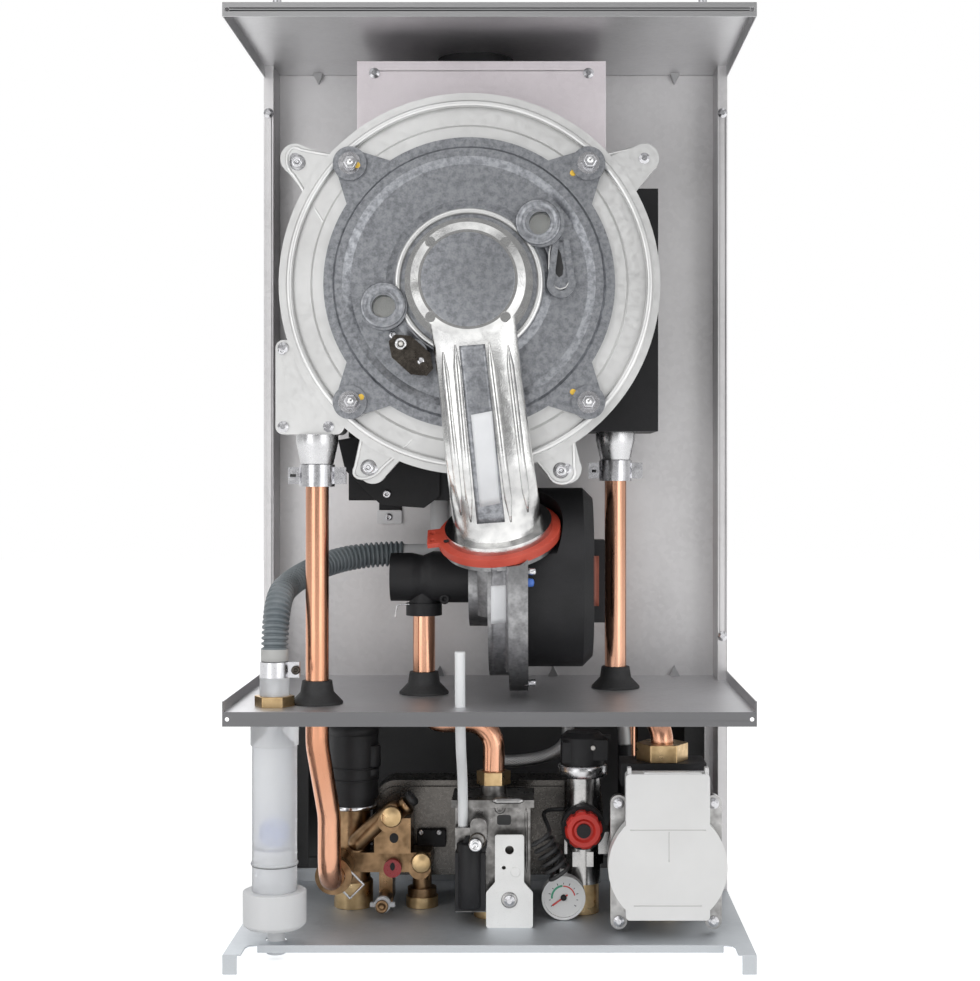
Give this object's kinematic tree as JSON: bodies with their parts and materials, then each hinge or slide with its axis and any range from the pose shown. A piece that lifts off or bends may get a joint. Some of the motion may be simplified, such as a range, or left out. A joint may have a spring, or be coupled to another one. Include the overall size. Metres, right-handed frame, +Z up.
{
  "type": "condensing boiler",
  "caption": "Wall-hung condensing boiler with its front casing off: round heat exchanger, burner door, fan, pipes, condensate trap, valves, gauge and pump in a folded steel frame.",
  "frame": {"origin": "on the ground at the middle of the footprint", "axes": "+Z up, +X to the right seen from the front, +Y towards the wall"},
  "size_m": [0.4, 0.31, 0.7555],
  "materials": {
    "galvanised_sheet": "satin galvanised sheet",
    "bright_zinc": "zinc plated",
    "steel": "satin",
    "cast_aluminium": "as cast",
    "machined_aluminium": "machined",
    "copper": "drawn copper",
    "brass": "machined brass",
    "black_plastic": "matt",
    "white_plastic": "semi gloss",
    "clear_plastic": "translucent",
    "hose_plastic": "ribbed",
    "red_rubber": "moulded",
    "black_rubber": "moulded",
    "red_plastic": "gloss",
    "blue_plastic": "gloss",
    "fibre": "ceramic fibre",
    "glass": "clear",
    "black_paint": "matt black paint",
    "vessel_paint": "satin paint"
  },
  "bodies": {
    "boiler": {"back_panel": "galvanised_sheet", "top_panel": "galvanised_sheet", "shelf_panel": "galvanised_sheet", "base_panel": "galvanised_sheet", "wall_frame": "black_paint", "expansion_vessel": "vessel_paint", "vessel_pipe": "copper", "exchanger_shell": "black_plastic", "exchanger_coil": "steel", "exchanger_ring": "machined_aluminium", "exchanger_bracket": "bright_zinc", "flue_collar": "black_plastic", "burner_door": "cast_aluminium", "sight_glasses": "glass", "door_nuts": "steel", "door_insulation": "fibre", "burner_tube": "steel", "ignition_electrode": "steel", "premix_duct": "cast_aluminium", "duct_gasket": "red_rubber", "fan_housing": "cast_aluminium", "fan_motor": "black_plastic", "gas_air_mixer": "black_plastic", "flow_pipe": "copper", "return_pipe": "copper", "gas_pipe": "copper", "pipe_fittings": "steel", "pipe_clips": "bright_zinc", "pipe_grommets": "black_rubber", "union_nuts": "brass", "condensate_outlet": "white_plastic", "condensate_hose": "hose_plastic", "trap_body": "clear_plastic", "trap_cup": "white_plastic", "diverter_body": "brass", "red_cap": "red_plastic", "diverter_motor": "black_plastic", "plate_exchanger": "steel", "gas_valve": "cast_aluminium", "gas_valve_coil": "black_plastic", "valve_stay": "white_plastic", "compensation_tube": "white_plastic", "relief_valve": "steel", "relief_bonnet": "black_plastic", "pressure_switch": "black_plastic", "gauge_case": "white_plastic", "gauge_capillary": "black_plastic", "pump_cover": "white_plastic", "pump_motor": "cast_aluminium", "pump_casing": "black_plastic", "filling_hose": "steel", "connection_tails": "brass", "panel_screws": "bright_zinc"},
    "fan_rotor": {"fan_wheel": "black_plastic"},
    "pump_rotor": {"pump_wheel": "black_plastic"},
    "knob": {"relief_knob": "red_plastic"},
    "needle": {"gauge_needle": "red_plastic"},
    "float": {"trap_float": "blue_plastic"},
    "spindle": {"diverter_spindle": "brass"},
    "drain": {"drain_knob": "white_plastic"}
  },
  "joints": [
    {"name": "fan_spin", "type": "hinge", "parent": "boiler", "child": "fan_rotor", "pos_m": [0.01, -0.043, 0.291], "axis": [1, 0, 0], "continuous": true},
    {"name": "pump_spin", "type": "hinge", "parent": "boiler", "child": "pump_rotor", "pos_m": [0.1365, -0.037, 0.071], "axis": [0, 1, 0], "continuous": true},
    {"name": "relief_knob_turn", "type": "hinge", "parent": "boiler", "child": "knob", "pos_m": [0.073, -0.058, 0.089], "axis": [0, -1, 0], "range_deg": [0, 90]},
    {"name": "gauge_needle_swing", "type": "hinge", "parent": "boiler", "child": "needle", "pos_m": [0.057, -0.053, 0.0332], "axis": [0, -1, 0], "range_deg": [-250, 0]},
    {"name": "float_lift", "type": "slide", "parent": "boiler", "child": "float", "axis": [0, 0, 1], "range_m": [0, 0.045]},
    {"name": "diverter_stroke", "type": "slide", "parent": "boiler", "child": "spindle", "axis": [0, 0, 1], "range_m": [0, 0.008]},
    {"name": "drain_turn", "type": "hinge", "parent": "boiler", "child": "drain", "pos_m": [-0.089, -0.051, 0.027], "axis": [0, -1, 0], "range_deg": [0, 90]}
  ]
}
